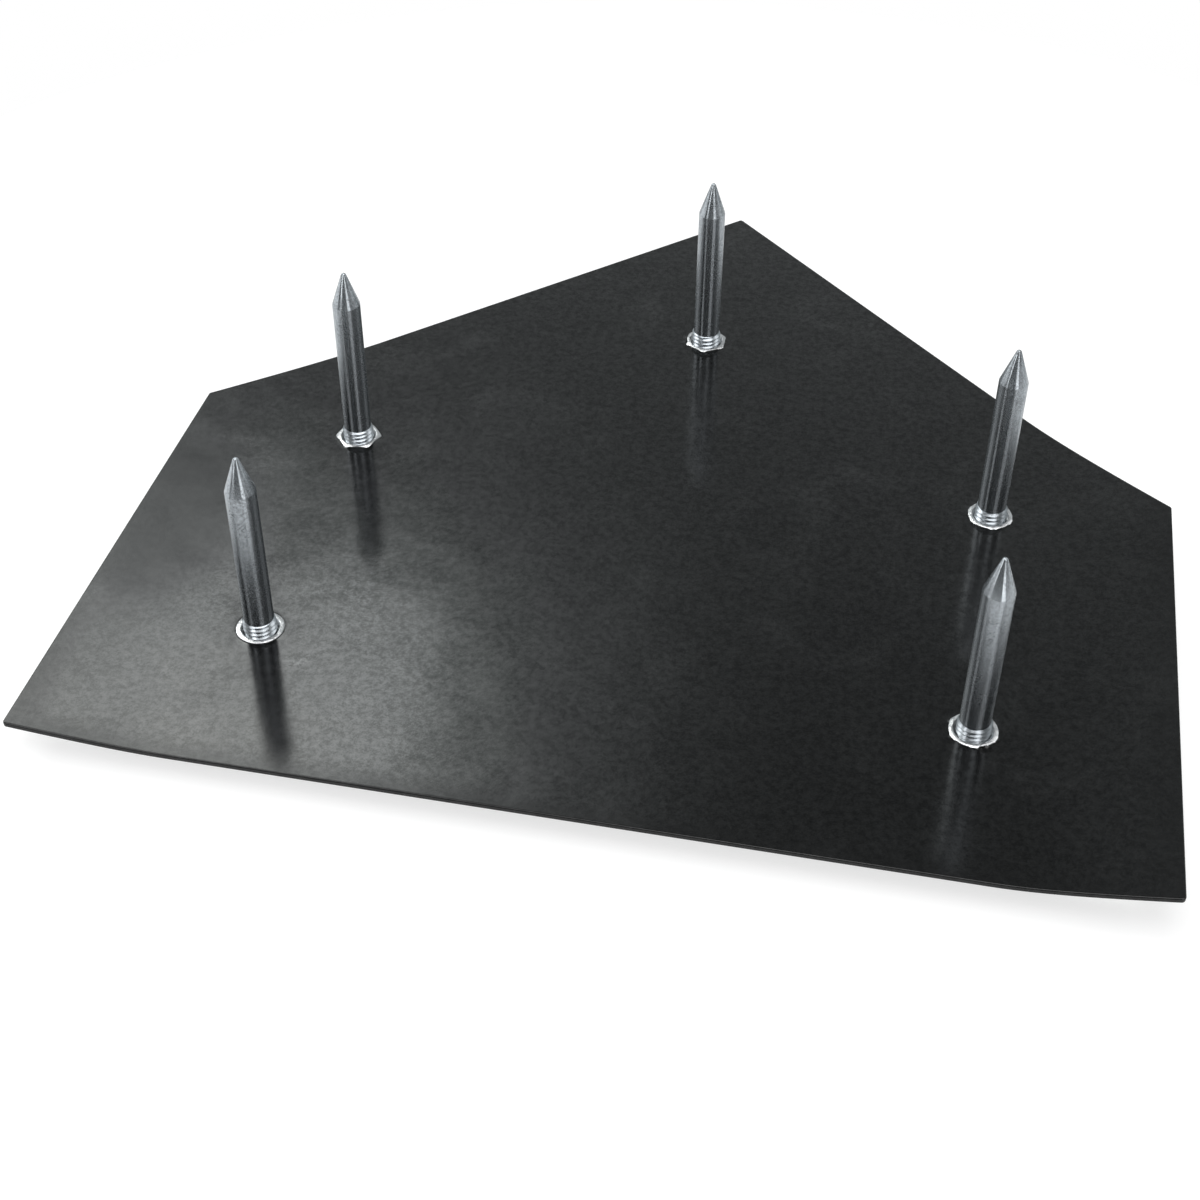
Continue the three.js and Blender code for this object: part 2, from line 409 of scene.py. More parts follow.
def nut_turn(place):
    """The angle of one corner of a packed nut."""
    nut = frame["nodes"][f"anchor_nut_{place}"].data
    arms = [vert.co.xy - AXIS[place].xy for vert in nut.vertices]
    reach = max(arms, key=lambda arm: round(arm.length, 6))
    return atan2(reach.y, reach.x)


def hex_radius(angle, across_flats):
    """Distance from a hexagon's middle to its edge, with a corner at angle 0."""
    return across_flats / 2 / cos(angle % radians(60) - radians(30))


# How the rubber meets each nut: the radius of the nut's collar, where it has one, the radius to which its
# corners reach at its top, the radius at which rubber clips them, how ragged that edge is, and a tongue of
# rubber over the nut's face, where there is one, with its angle from +X, its half width and its reach
LIPS = {
    "front_left": {"collar": 0.0102, "corner": 0.0102, "clip": 0.0104, "ragged": 0.00004},
    "shoulder_left": {"collar": 0.0, "corner": 0.012, "clip": 0.0109, "ragged": 0.00008},
    "point": {
        "collar": 0.0097, "corner": 0.012, "clip": 0.0106, "ragged": 0.00016,
        "tongue": (radians(188), radians(16), 0.0016)},
    "shoulder_right": {"collar": 0.0099, "corner": 0.012, "clip": 0.0102, "ragged": 0.00012},
    "front_right": {
        "collar": 0.0099, "corner": 0.012, "clip": 0.0101, "ragged": 0.00030,
        "tongue": (radians(-62), radians(11), 0.0013)},
}


def collar_radius(place, angle, across_flats):
    """Radius of a nut's top, at an angle from its corner."""
    lip = LIPS[place]
    return min(max(hex_radius(angle, across_flats), lip["collar"]), lip["corner"])


def lip_radius(place, angle, turn, across_flats, gap):
    """Radius at which the rubber ends round a nut, at an angle from the nut's corner."""
    lip = LIPS[place]
    around = angle + turn
    radius = min(collar_radius(place, angle, across_flats) + gap, lip["clip"])
    spot = Vector((cos(around), sin(around), 0)) * 3 + AXIS[place] * 50
    radius += lip["ragged"] * (noise.noise(spot) + 0.6 * noise.noise(spot * 3.1))
    if "tongue" in lip:
        middle, half, reach = lip["tongue"]
        off = (around - middle + pi) % (2 * pi) - pi
        radius -= reach * exp(-(off / half) ** 4)
    return radius


def flat_radius(place, nut):
    """Radius of the flat on a nut's top, inside its chamfer, which is narrow on a fully round collar."""
    lip = LIPS[place]
    round_top = lip["collar"] - COLLAR_CHAMFER if lip["collar"] == lip["corner"] else 0
    return max(nut.face_diameter / 2, round_top)


def nut_level(place, radius, nut):
    """Height of a nut's upper side above the underside, at a radius."""
    proud = BOX[f"anchor_nut_{place}"][1].z - UNDERSIDE
    return proud - max(radius - flat_radius(place, nut), 0) * tan(nut.chamfer)


def anchor_pocket(bm, place, settings, nut):
    """The lip and stepped pocket for one nut and washer. Returns its rings in the underside and the tray."""
    turn = nut_turn(place)
    gap = settings.mould_gap
    width = settings.lip_width
    washer_low, washer_high = BOX[f"anchor_washer_{place}"]
    washer_radius = (washer_high.x - washer_low.x) / 2 + gap
    ceiling = washer_high.z + gap

    def hexagon(angle):
        return hex_radius(angle, nut.across_flats) + gap

    def edge(angle):
        return lip_radius(place, angle, turn, nut.across_flats, gap / 3)

    def wall(angle):
        return max(hexagon(angle), edge(angle))

    def crest(angle):
        over = min(max((collar_radius(place, angle, nut.across_flats) - edge(angle)) / gap, 0), 1)
        return UNDERSIDE + max(settings.lip_swell, over * (nut_level(place, edge(angle), nut) + gap / 4))

    return grown_rings(bm, AXIS[place], turn, [
        (POCKET_REACH, UNDERSIDE),
        (lambda a: edge(a) + 1.6 * width, UNDERSIDE),
        (lambda a: edge(a) + 0.9 * width, lambda a: (crest(a) + 2 * UNDERSIDE) / 3),
        (lambda a: edge(a) + 0.4 * width, lambda a: (3 * crest(a) + UNDERSIDE) / 4),
        (lambda a: edge(a) + 0.15 * width, crest),
        (lambda a: edge(a) + 0.04 * width, lambda a: crest(a) - 0.03 * width),
        (edge, lambda a: crest(a) - 0.12 * width),
        (wall, lambda a: crest(a) - 0.16 * width),
        (wall, UNDERSIDE - LIP_DEPTH),
        (hexagon, UNDERSIDE - HEX_DEPTH),
        (hexagon, ceiling),
        (washer_radius, ceiling),
        (washer_radius, FACE_TOP),
    ])


def open_face(bm, face, loops):
    """Replaces a face by one with holes."""
    border = list(face.edges)
    bmesh.ops.delete(bm, geom=[face], context="FACES_ONLY")
    edges = border + [edge for loop in loops for edge in loop]
    bmesh.ops.triangle_fill(bm, use_beauty=True, edges=edges)


def support_ring(bm, face):
    bmesh.ops.inset_individual(bm, faces=[face], thickness=SUPPORT_BAND, use_even_offset=True)


def base_mesh(settings, nut):
    bm = bmesh.new()
    border = SPREAD - settings.bevel_run
    underside = outline_face(bm, SPREAD, UNDERSIDE)
    lower = pulled(bm, underside, -settings.rim_height)
    bmesh.ops.recalc_face_normals(bm, faces=bm.faces)
    drop = UNDERSIDE - settings.rim_height
    for thickness, depth in ((settings.bevel_run, drop), (border - settings.mould_gap, 0)):
        bmesh.ops.inset_individual(bm, faces=[lower], thickness=thickness, depth=depth, use_even_offset=True)
    pulled(bm, lower, FACE_TOP)
    bmesh.ops.delete(bm, geom=[lower], context="FACES_ONLY")
    round_corners(bm, SPREAD, border, settings.corner_radius)
    round_corners(bm, settings.mould_gap, settings.mould_gap, settings.corner_radius / 2)
    rounded(bm, level_face(bm, UNDERSIDE).edges[:], settings.edge_radius, 4)
    support_ring(bm, level_face(bm, UNDERSIDE))
    pockets = [anchor_pocket(bm, place, settings, nut) for place in PLACES]
    open_face(bm, level_face(bm, UNDERSIDE), [upper for upper, _ in pockets])
    open_face(bm, level_face(bm, FACE_TOP), [lower for _, lower in pockets])
    curl(bm, settings)
    return bm


def face_mesh(settings, base):
    bm = bmesh.new()
    sheet = outline_face(bm, 0, 0)
    pulled(bm, sheet, FACE_TOP - WASHER_RELIEF)
    round_corners(bm, 0, 0, settings.corner_radius)
    rounded(bm, level_face(bm, 0).edges[:], settings.edge_radius, 3)
    support_ring(bm, level_face(bm, 0))
    curl(bm, base)
    return bm


# Shapes of the anchors and spikes


def spun(bm, axis, turn, points, rise=0.0, use_merge=True):
    """Spins a chain of [radius, height] points once round an axis, and up by a rise where it is a helix."""
    chain = [bm.verts.new((axis.x + radius, axis.y, height)) for radius, height in points]
    edges = [bm.edges.new(pair) for pair in zip(chain, chain[1:])]
    bmesh.ops.rotate(bm, verts=chain, cent=axis, matrix=Matrix.Rotation(turn, 3, "Z"))
    bmesh.ops.spin(
        bm, geom=chain + edges, cent=axis, axis=(0, 0, 1), dvec=(0, 0, rise / SPIN_STEPS), angle=2 * pi,
        steps=SPIN_STEPS, use_merge=use_merge)


def thread_wall(bm, axis, turn, groove, pitch, bottom, top):
    """A helical wall between two levels, from the [radius, share of a pitch] points of its groove."""
    turns = ceil((top - bottom) / pitch) + 3
    start = bottom - 1.5 * pitch
    points = [(radius, start + (index + share) * pitch) for index in range(turns) for radius, share in groove]
    spun(bm, axis, turn, points, rise=pitch, use_merge=False)
    bmesh.ops.remove_doubles(bm, verts=bm.verts, dist=WELD)
    loops = []
    for level, outwards in ((bottom, -1), (top, 1)):
        cut = bmesh.ops.bisect_plane(
            bm, geom=all_of(bm), dist=ON_PLANE, plane_co=(0, 0, level), plane_no=(0, 0, outwards),
            clear_outer=True)
        loops.append(only(BMEdge, cut["geom_cut"]))
    return loops


def turned_wall(bm, axis, turn, profile):
    """A wall of revolution from [radius, height] points. Returns its first and last edge loops."""
    before = set(bm.verts)
    spun(bm, axis, turn, profile)
    made = [edge for edge in bm.edges if before.isdisjoint(edge.verts)]
    return [
        [edge for edge in made if all(abs(vert.co.z - height) < WELD for vert in edge.verts)]
        for _, height in (profile[0], profile[-1])
    ]


def spike_mesh(place, settings):
    low, high = BOX[f"spike_{place}"]
    axis = Vector((*AXIS[place].xy, 0))
    turn = SPIKE_TURN * PLACES.index(place)
    shank = settings.shank_diameter / 2
    crest = (high.x - low.x) / 2
    root = crest - settings.thread_depth
    # The groove's section over one pitch: a rolled crown, two flanks and a round root
    crown, corner, fillet = 0.00004, 0.00014, 0.0001
    groove = [
        (crest - crown, 0.0), (crest, 0.06), (crest - crown, 0.12), (crest - corner, 0.17),
        (root + fillet, 0.52), (root, 0.57), (root + fillet, 0.62), (crest - corner, 0.95)]
    thread_bottom = low.z + settings.end_chamfer
    thread_top = low.z + settings.thread_length
    bm = bmesh.new()
    lower, upper = thread_wall(bm, axis, turn, groove, settings.pitch, thread_bottom, thread_top)
    fade_thread(bm, axis, shank, thread_top, 0.4 * settings.pitch)
    shoulder, neck = turned_wall(bm, axis, turn, spike_profile(high.z, thread_top, shank, settings))
    bmesh.ops.bridge_loops(bm, edges=upper + shoulder)
    bmesh.ops.contextual_create(bm, geom=neck)
    bmesh.ops.contextual_create(bm, geom=next_ring(bm, lower, axis, turn, root, low.z))
    for face in bm.faces:
        face.material_index = int(face.calc_center_median().z < thread_top)
    return bm


def fade_thread(bm, axis, radius, top, length):
    """Lets the groove run out into the shank over the thread's last stretch."""
    for vert in bm.verts:
        share = min(max((vert.co.z - top + length) / length, 0), 1)
        arm = vert.co.xy - axis.xy
        grown = arm.length + (radius - arm.length) * share ** 2
        vert.co.xy = axis.xy + arm * grown / arm.length


def spike_profile(tip, thread_top, shank, settings):
    """Shank, pencil point and blunt tip, upwards from the end of the thread."""
    cone = tip - settings.point_length
    blunt = settings.tip_diameter / 2
    slope = (shank - blunt) / settings.point_length
    corner, nose = 0.00015, 0.0006
    return [
        (shank, thread_top + 0.0002),
        (shank, cone - corner),
        (shank - slope * corner / 2, cone),
        (shank - slope * corner, cone + corner),
        (blunt + slope * nose, tip - nose),
        (blunt * 0.90, tip - 0.00028),
        (blunt * 0.66, tip - 0.0001),
        (blunt * 0.35, tip),
    ]


def nut_mesh(place, nut, spike):
    low, high = (corner.z for corner in BOX[f"anchor_nut_{place}"])
    axis = Vector((*AXIS[place].xy, 0))
    turn = nut_turn(place)
    bore = nut.bore_radius
    mouth = bore + nut.countersink
    face = nut.face_diameter / 2
    top = flat_radius(place, nut)

    def side(angle):
        return hex_radius(angle, nut.across_flats)

    def collar(angle):
        return collar_radius(place, angle, nut.across_flats)

    def chamfer(radius, flat):
        return max(radius - flat, 0) * tan(nut.chamfer)

    bm = bmesh.new()
    groove = [(bore, 0.0), (bore, 0.22), (bore + NUT_GROOVE, 0.56), (bore + NUT_GROOVE, 0.66)]
    thread = thread_wall(bm, axis, turn, groove, spike.pitch, low + nut.countersink, high - nut.countersink)
    loops = grown_rings(bm, axis, turn, [
        (mouth, low),
        (lambda a: min(side(a), face), low),
        (side, lambda a: low + chamfer(side(a), face)),
        (side, high - COLLAR_HEIGHT - EDGE_BREAK),
        (collar, high - COLLAR_HEIGHT),
        (collar, lambda a: high - chamfer(collar(a), top)),
        (lambda a: min(collar(a), top), high),
        (mouth + EDGE_BREAK, high),
        (mouth, high - EDGE_BREAK),
    ])
    for inner, outer in zip(thread, loops):
        bmesh.ops.bridge_loops(bm, edges=inner + outer)
    return bm


# Material helpers


def connect(tree, socket, value):
    """Links an input to a socket, or sets a plain value on it."""
    if isinstance(value, bpy.types.NodeSocket):
        tree.links.new(value, socket)
    else:
        socket.default_value = value


def feed(tree, made, *values, **inputs):
    """Connects a node's first inputs and its named ones, and returns the node."""
    for socket, value in zip(made.inputs, values):
        connect(tree, socket, value)
    for name, value in inputs.items():
        connect(tree, made.inputs[name.replace("_", " ")], value)
    return made


def add_node(tree, kind, *values, **inputs):
    """A new node to the right of the others."""
    made = tree.nodes.new(kind)
    made.location.x = 190 * len(tree.nodes)
    return feed(tree, made, *values, **inputs)


def math_node(tree, operation, *values, kind="ShaderNodeMath", output="Value"):
    made = add_node(tree, kind)
    made.operation = operation
    return feed(tree, made, *values).outputs[output]


def vector_math(tree, operation, *values, output="Value"):
    return math_node(tree, operation, *values, kind="ShaderNodeVectorMath", output=output)


def times(tree, first, second):
    return math_node(tree, "MULTIPLY", first, second)


def largest(tree, first, second):
    return math_node(tree, "MAXIMUM", first, second)


def mixture(tree, *parts, base=0.0):
    """A base value plus others, each times its share."""
    for value, share in parts:
        base = math_node(tree, "MULTIPLY_ADD", value, share, base)
    return base


def ramp(tree, value, low, high, start=0.0, end=1.0):
    """A smooth step from start to end as a value goes from low to high."""
    made = add_node(tree, "ShaderNodeMapRange", value, low, high, start, end)
    made.interpolation_type = "SMOOTHSTEP"
    return made.outputs["Result"]


def mix_colour(tree, factor, first, second):
    """A colour between two."""
    made = add_node(tree, "ShaderNodeMix", factor)
    made.data_type = "RGBA"
    made.inputs[6].default_value = (*first, 1)
    made.inputs[7].default_value = (*second, 1)
    return made.outputs[2]


def split_axes(tree, vector):
    return add_node(tree, "ShaderNodeSeparateXYZ", vector).outputs


def noise_at(tree, vector, scale, **inputs):
    return add_node(tree, "ShaderNodeTexNoise", Vector=vector, Scale=scale, **inputs).outputs["Fac"]


def bump(tree, height, depth, **inputs):
    made = add_node(tree, "ShaderNodeBump", Distance=depth, Height=height, **inputs)
    return made.outputs["Normal"]


def oval_reach(tree, place, middle, size):
    """Distance from a point of the plate, 1 on an oval round it with the given half sizes."""
    shift = (-middle[0] / size[0], -middle[1] / size[1], 0)
    scale = (1 / size[0], 1 / size[1], 0)
    moved = add_node(tree, "ShaderNodeMapping", Vector=place, Location=shift, Scale=scale)
    return vector_math(tree, "LENGTH", moved.outputs["Vector"])


def effect_group(name, inputs, output):
    """An empty effect with its named inputs and one value as its output."""
    group = bpy.data.node_groups.new(name, "ShaderNodeTree")
    group.interface.new_socket("Vector", in_out="INPUT", socket_type="NodeSocketVector")
    for label, default in inputs.items():
        socket = group.interface.new_socket(label, in_out="INPUT", socket_type="NodeSocketFloat")
        socket.default_value = default
    group.interface.new_socket(output, in_out="OUTPUT", socket_type="NodeSocketFloat")
    return group, group.nodes.new("NodeGroupInput").outputs, group.nodes.new("NodeGroupOutput")


def handling_marks(name):
    """Soft cloudy patches, as hands and storage leave on rubber and plating."""
    group, given, out = effect_group(name, {"Patch Size": 0.1, "Coverage": 0.5}, "Mask")
    scale = math_node(group, "DIVIDE", 1.0, given["Patch Size"])
    cloud = noise_at(group, given["Vector"], scale, Detail=5.0, Roughness=0.58, Distortion=0.7)
    low = mixture(group, (given["Coverage"], -0.4), base=0.72)
    feed(group, out, ramp(group, cloud, low, math_node(group, "ADD", low, 0.26)))
    return group


def pressed_grain(name):
    """Noise drawn out along one axis: creases that a cloth liner presses, or the streaks of drawn steel."""
    sizes = {"Size X": 0.004, "Size Y": 0.001, "Size Z": 0.001, "Turn": 0.0}
    group, given, out = effect_group(name, sizes, "Height")
    turned = add_node(group, "ShaderNodeVectorRotate", Vector=given["Vector"], Angle=given["Turn"])
    turned.rotation_type = "Z_AXIS"
    size = add_node(group, "ShaderNodeCombineXYZ", *(given[f"Size {axis}"] for axis in "XYZ"))
    scaled = vector_math(group, "DIVIDE", turned.outputs[0], size.outputs[0], output="Vector")
    feed(group, out, noise_at(group, scaled, 1.0, Roughness=0.6))
    return group


def turning_rings(name):
    """Fine rings round Z that a lathe tool leaves."""
    group, given, out = effect_group(name, {"Ring Spacing": 0.0005}, "Height")
    height = split_axes(group, given["Vector"])["Z"]
    rings = add_node(group, "ShaderNodeTexNoise", Scale=1.0, Detail=3.0, Roughness=0.6)
    rings.noise_dimensions = "1D"
    feed(group, rings, W=math_node(group, "DIVIDE", height, given["Ring Spacing"]))
    feed(group, out, rings.outputs["Fac"])
    return group


def use_effect(tree, effect, vector, **inputs):
    """Places an effect's node group, which is built when a material first asks for it."""
    made = add_node(tree, "ShaderNodeGroup")
    made.node_tree = bpy.data.node_groups.get(effect.__name__) or effect(effect.__name__)
    return feed(tree, made, Vector=vector, **inputs).outputs[0]


def finished(finish, *settings):
    """A material named for its finish, which gets its nodes, Principled shader and Object coordinates."""
    material = bpy.data.materials.new(finish.__name__)
    material.use_nodes = True
    tree = material.node_tree
    place = tree.nodes.new("ShaderNodeTexCoord").outputs["Object"]
    finish(tree, tree.nodes["Principled BSDF"], place, *settings)
    return material


# Finishes


def black_rubber(tree, shader, place, settings):
    """Smooth moulded rubber with a pale film, pressed creases and a slow wave, dulled by hands at its rim."""
    film = use_effect(tree, handling_marks, place, Patch_Size=0.11, Coverage=0.55)
    smears = use_effect(tree, handling_marks, place, Patch_Size=0.045, Coverage=0.5)
    creased = use_effect(tree, handling_marks, place, Patch_Size=0.07, Coverage=0.6)
    creases = use_effect(
        tree, pressed_grain, place, Size_X=0.0036, Size_Y=0.0011, Size_Z=0.0011, Turn=radians(-45))
    speckle = noise_at(tree, place, 1500.0, Roughness=0.65)
    wax = noise_at(tree, place, 300.0, Detail=4.0, Roughness=0.95)
    wave = noise_at(tree, place, 16.0)

    # Hands have rubbed a patch at the left, both sides and the front
    reach = oval_reach(tree, place, middle=(-0.228, -0.088), size=(0.070, 0.105))
    grip = ramp(tree, mixture(tree, (wave, 0.5), (smears, 0.15), base=reach), 1.38, 0.5)
    split = split_axes(tree, place)
    side = ramp(tree, math_node(tree, "ABSOLUTE", split["X"]), 0.204, 0.229, 0.0, 0.65)
    front = ramp(tree, split["Y"], -0.214, -0.232, 0.0, 0.65)
    rubbed = largest(tree, grip, largest(tree, side, front))

    # The wax shines unevenly where it is smeared, most of all near the front left corner
    corner = oval_reach(tree, place, middle=(-0.185, -0.195), size=(0.110, 0.080))
    smeared = ramp(tree, corner, 1.1, 0.4, 0.4, 1.0)
    patchy = mixture(tree, (math_node(tree, "SUBTRACT", smears, 0.5), smeared), base=1.0)
    shine = times(tree, patchy, ramp(tree, rubbed, 0.0, 1.0, 1.0, 0.15))

    dusted = mixture(tree, (film, 0.3), (smears, 0.45), base=ramp(tree, wax, 0.26, 0.74, -0.05, 0.5))
    normal = bump(tree, wave, 0.0007)
    depth = times(tree, creases, ramp(tree, creased, 0.0, 1.0, 0.3, 1.0))
    normal = bump(tree, depth, 0.00002, Normal=normal)
    feed(
        tree, shader, Coat_Roughness=0.14, Specular_IOR_Level=0.33,
        Base_Color=mix_colour(tree, dusted, settings.rubber, settings.bloom),
        Roughness=mixture(tree, (film, 0.03), (smears, 0.02), (rubbed, 0.08), base=0.14),
        Coat_Weight=times(tree, ramp(tree, wax, 0.34, 0.66, 0.0, 0.68), shine),
        Normal=bump(tree, speckle, 0.000006, Normal=normal))


def white_rubber(tree, shader, place, settings):
    """Matt white rubber with a fine moulded grain and dust in it."""
    soil = use_effect(tree, handling_marks, place, Patch_Size=0.09, Coverage=0.4)
    scuffs = use_effect(
        tree, pressed_grain, place, Size_X=0.03, Size_Y=0.0012, Size_Z=0.0012, Turn=radians(70))
    dirt = times(tree, soil, ramp(tree, scuffs, 0.35, 0.7, 0.15, 0.7))
    feed(
        tree, shader,
        Base_Color=mix_colour(tree, dirt, settings.rubber, settings.soil),
        Roughness=ramp(tree, soil, 0.0, 1.0, 0.52, 0.66),
        Normal=bump(tree, noise_at(tree, place, 700.0), 0.00004))


def bare_metal(tree, shader, mask, bright, dull, smooth, rough):
    """Metal that goes from bright and smooth to dull and rough with a mask."""
    feed(
        tree, shader, Metallic=1.0,
        Base_Color=mix_colour(tree, mask, bright, dull),
        Roughness=ramp(tree, mask, 0.0, 1.0, smooth, rough))


def dimmed(colour, share):
    return tuple(share * channel for channel in colour)


def spike_steel(tree, shader, place, settings, cone_start):
    """Bright zinc on a turned bar: rings on the point, upright streaks and mottling on the shank."""
    patches = ramp(tree, noise_at(tree, place, 130.0), 0.35, 0.65, 0.4, 1.0)
    grain = ramp(tree, noise_at(tree, place, 1100.0, Detail=3.0, Roughness=0.7), 0.33, 0.67)
    mottle = times(tree, grain, patches)
    streaks = use_effect(tree, pressed_grain, place, Size_X=0.0007, Size_Y=0.0007, Size_Z=0.03)
    rings = use_effect(tree, turning_rings, place, Ring_Spacing=0.0004)
    on_point = ramp(tree, split_axes(tree, place)["Z"], cone_start - 0.0001, cone_start + 0.0001)
    on_shank = math_node(tree, "SUBTRACT", 1.0, on_point)
    normal = bump(tree, times(tree, rings, on_point), 0.00001)
    tangent = add_node(tree, "ShaderNodeTangent")
    tangent.direction_type = "RADIAL"
    tangent.axis = "Z"
    bare_metal(tree, shader, mottle, settings.zinc, dimmed(settings.zinc, 0.55), smooth=0.21, rough=0.28)
    feed(
        tree, shader, Tangent=tangent.outputs["Tangent"], Anisotropic=1.0, Anisotropic_Rotation=0.25,
        Normal=bump(tree, times(tree, streaks, on_shank), 0.00002, Normal=normal))


def thread_steel(tree, shader, place, settings):
    """The same zinc on the rolled thread, where it shines evenly and is a little worn."""
    wear = use_effect(tree, handling_marks, place, Patch_Size=0.004, Coverage=0.5)
    bare_metal(tree, shader, wear, settings.zinc, dimmed(settings.zinc, 0.7), smooth=0.28, rough=0.38)


def nut_steel(tree, shader, place, settings):
    """Bright zinc on a forged nut, with small dents in its face."""
    mottle = use_effect(tree, handling_marks, place, Patch_Size=0.006, Coverage=0.5)
    dents = noise_at(tree, place, 480.0, Detail=3.0)
    bare_metal(tree, shader, mottle, settings.zinc, dimmed(settings.zinc, 0.8), smooth=0.32, rough=0.45)
    feed(tree, shader, Normal=bump(tree, dents, 0.0004))


def washer_steel(tree, shader, place):
    """Plain steel washer with fine rings round its edge and a little rust-proofing oil."""
    film = use_effect(tree, handling_marks, place, Patch_Size=0.01, Coverage=0.5)
    rings = use_effect(tree, turning_rings, place, Ring_Spacing=0.0004)
    bare_metal(tree, shader, film, (0.50, 0.51, 0.52), (0.34, 0.34, 0.33), smooth=0.3, rough=0.45)
    feed(tree, shader, Normal=bump(tree, rings, 0.00001))


def floor_paper(tree, shader, place, settings):
    """Studio paper that looks white to the lens, takes a shadow and can be looked through from below."""
    feed(tree, shader, Base_Color=(*settings.floor, 1), Roughness=0.9, Specular_IOR_Level=0.0)
    path = add_node(tree, "ShaderNodeLightPath").outputs
    seen = largest(tree, path["Is Camera Ray"], path["Is Transmission Ray"])
    lit = times(tree, largest(tree, seen, times(tree, path["Is Glossy Ray"], 0.1)), 0.55)
    glow = add_node(tree, "ShaderNodeEmission", Strength=1.3)
    paper = add_node(tree, "ShaderNodeMixShader", lit, shader.outputs[0], glow.outputs[0])
    behind = add_node(tree, "ShaderNodeNewGeometry").outputs["Backfacing"]
    soft = largest(tree, path["Is Diffuse Ray"], path["Is Shadow Ray"])
    close = math_node(tree, "LESS_THAN", path["Ray Length"], PAPER_GLOW_REACH)
    clear = largest(tree, behind, times(tree, soft, close))
    gap = add_node(tree, "ShaderNodeBsdfTransparent")
    thin_paper = add_node(tree, "ShaderNodeMixShader", clear, paper.outputs[0], gap.outputs[0])
    feed(tree, tree.nodes["Material Output"], Surface=thin_paper.outputs[0])


# Stage


def direction(azimuth, elevation):
    """A unit vector from the plate: azimuth 0 is behind it, towards +Y, and turns towards +X."""
    flat = cos(elevation)
    return Vector((sin(azimuth) * flat, cos(azimuth) * flat, sin(elevation)))


# The lamps: azimuth and elevation in degrees, distance, width and height in metres, and brightness
SOFTBOXES = {
    "overhead_softbox": (150, 82, 2.2, 1.9, 1.9, 2.9),
    "front_strip": (147, -1, 1.6, 0.6, 0.8, 2.2),
    "front_box": (147, 42, 1.6, 0.6, 0.9, 2.0),
    "corner_box": (-139.5, 34, 0.67, 0.16, 0.4, 3.2),
    "left_fill": (-95, 0, 2.0, 2.0, 1.2, 1.0),
    "right_fill": (105, 0, 2.0, 2.4, 1.2, 0.5),
    "left_wing": (-75, 40, 1.6, 0.9, 0.7, 2.5),
    "right_wing": (60, 40, 1.6, 0.9, 0.7, 1.4),
}


def softbox(name, azimuth, elevation, distance, width, height, brightness):
    """An area lamp that faces the plate, with its brightness as seen from there."""
    lamp = bpy.data.lights.new(name, "AREA")
    lamp.shape = "RECTANGLE"
    lamp.size = width
    lamp.size_y = height
    lamp.energy = brightness * pi * width * height
    towards = direction(radians(azimuth), radians(elevation))
    stand = bpy.data.objects.new(name, lamp)
    stand.location = towards * distance
    stand.rotation_euler = towards.to_track_quat("Z", "Y").to_euler()
    stand.visible_camera = False
    bpy.context.scene.collection.objects.link(stand)


def soft_spot(tree, towards, azimuth, elevation, width, height, turn, inner, brightness):
    """An oval patch of light in the room: half width and height in degrees, turn and clear middle."""
    azimuth, elevation = radians(azimuth), radians(elevation)
    middle = direction(azimuth, elevation)
    spin = Matrix.Rotation(-radians(turn), 3, middle)
    across = spin @ direction(azimuth + pi / 2, 0)
    rise = spin @ direction(azimuth, elevation + pi / 2)
    reach = 0.0
    for axis, size in ((across, width), (rise, height)):
        share = vector_math(tree, "DOT_PRODUCT", towards, axis / sin(radians(size)))
        reach = math_node(tree, "MULTIPLY_ADD", share, share, reach)
    spot = ramp(tree, math_node(tree, "SQRT", reach), 1.0, inner, 0.0, brightness)
    return times(tree, spot, ramp(tree, vector_math(tree, "DOT_PRODUCT", towards, middle), 0.0, 0.2))


def room(settings):
    """A dim room with a soft oval key light behind the plate in its halo, white where the camera sees it."""
    world = bpy.data.worlds.new("studio_room")
    world.use_nodes = True
    tree = world.node_tree
    towards = tree.nodes.new("ShaderNodeTexCoord").outputs["Generated"]
    split = split_axes(tree, towards)
    walls = ramp(tree, split["Z"], 1.0, 0.4, 0.0, settings.horizon)
    behind = ramp(tree, split["Y"], -0.4, 0.5, 0.15, 1.0)
    below = ramp(tree, split["Z"], -0.3, -0.6, 0.0, 0.7)
    key = soft_spot(
        tree, towards, azimuth=-25.5, elevation=44.4, width=7.6, height=4.7, turn=-23.8,
        inner=0.7, brightness=3.2)
    halo_peak = 3.65
    halo = soft_spot(
        tree, towards, azimuth=-47.7, elevation=48.5, width=31.5, height=15.4, turn=-1.0,
        inner=0.2, brightness=halo_peak)
    light = mixture(tree, (walls, behind), (below, 1.0), (key, 1.0), (halo, 1.0), base=settings.room)
    tint = mix_colour(tree, ramp(tree, halo, 0.0, halo_peak), (0.93, 0.985, 1.0), (0.98, 1.0, 0.965))
    dim = feed(tree, tree.nodes["Background"], Color=tint, Strength=light)
    seen = add_node(tree, "ShaderNodeBackground", Color=(1, 1, 1, 1))
    by_camera = add_node(tree, "ShaderNodeLightPath").outputs["Is Camera Ray"]
    both = add_node(tree, "ShaderNodeMixShader", by_camera, dim.outputs[0], seen.outputs[0])
    feed(tree, tree.nodes["World Output"], Surface=both.outputs[0])
    bpy.context.scene.world = world


def camera(settings):
    data = bpy.data.cameras.new("camera")
    data.sensor_width = 36.0
    data.lens = settings.lens
    data.clip_start = 0.01
    back = direction(pi - settings.azimuth, settings.elevation)
    lens = bpy.data.objects.new("camera", data)
    turn = back.to_track_quat("Z", "Y").to_matrix() @ Matrix.Rotation(settings.roll, 3, "Z")
    lens.matrix_world = Matrix.Translation(Vector(settings.aim) + back * settings.distance) @ turn.to_4x4()
    bpy.context.scene.collection.objects.link(lens)
    bpy.context.scene.camera = lens


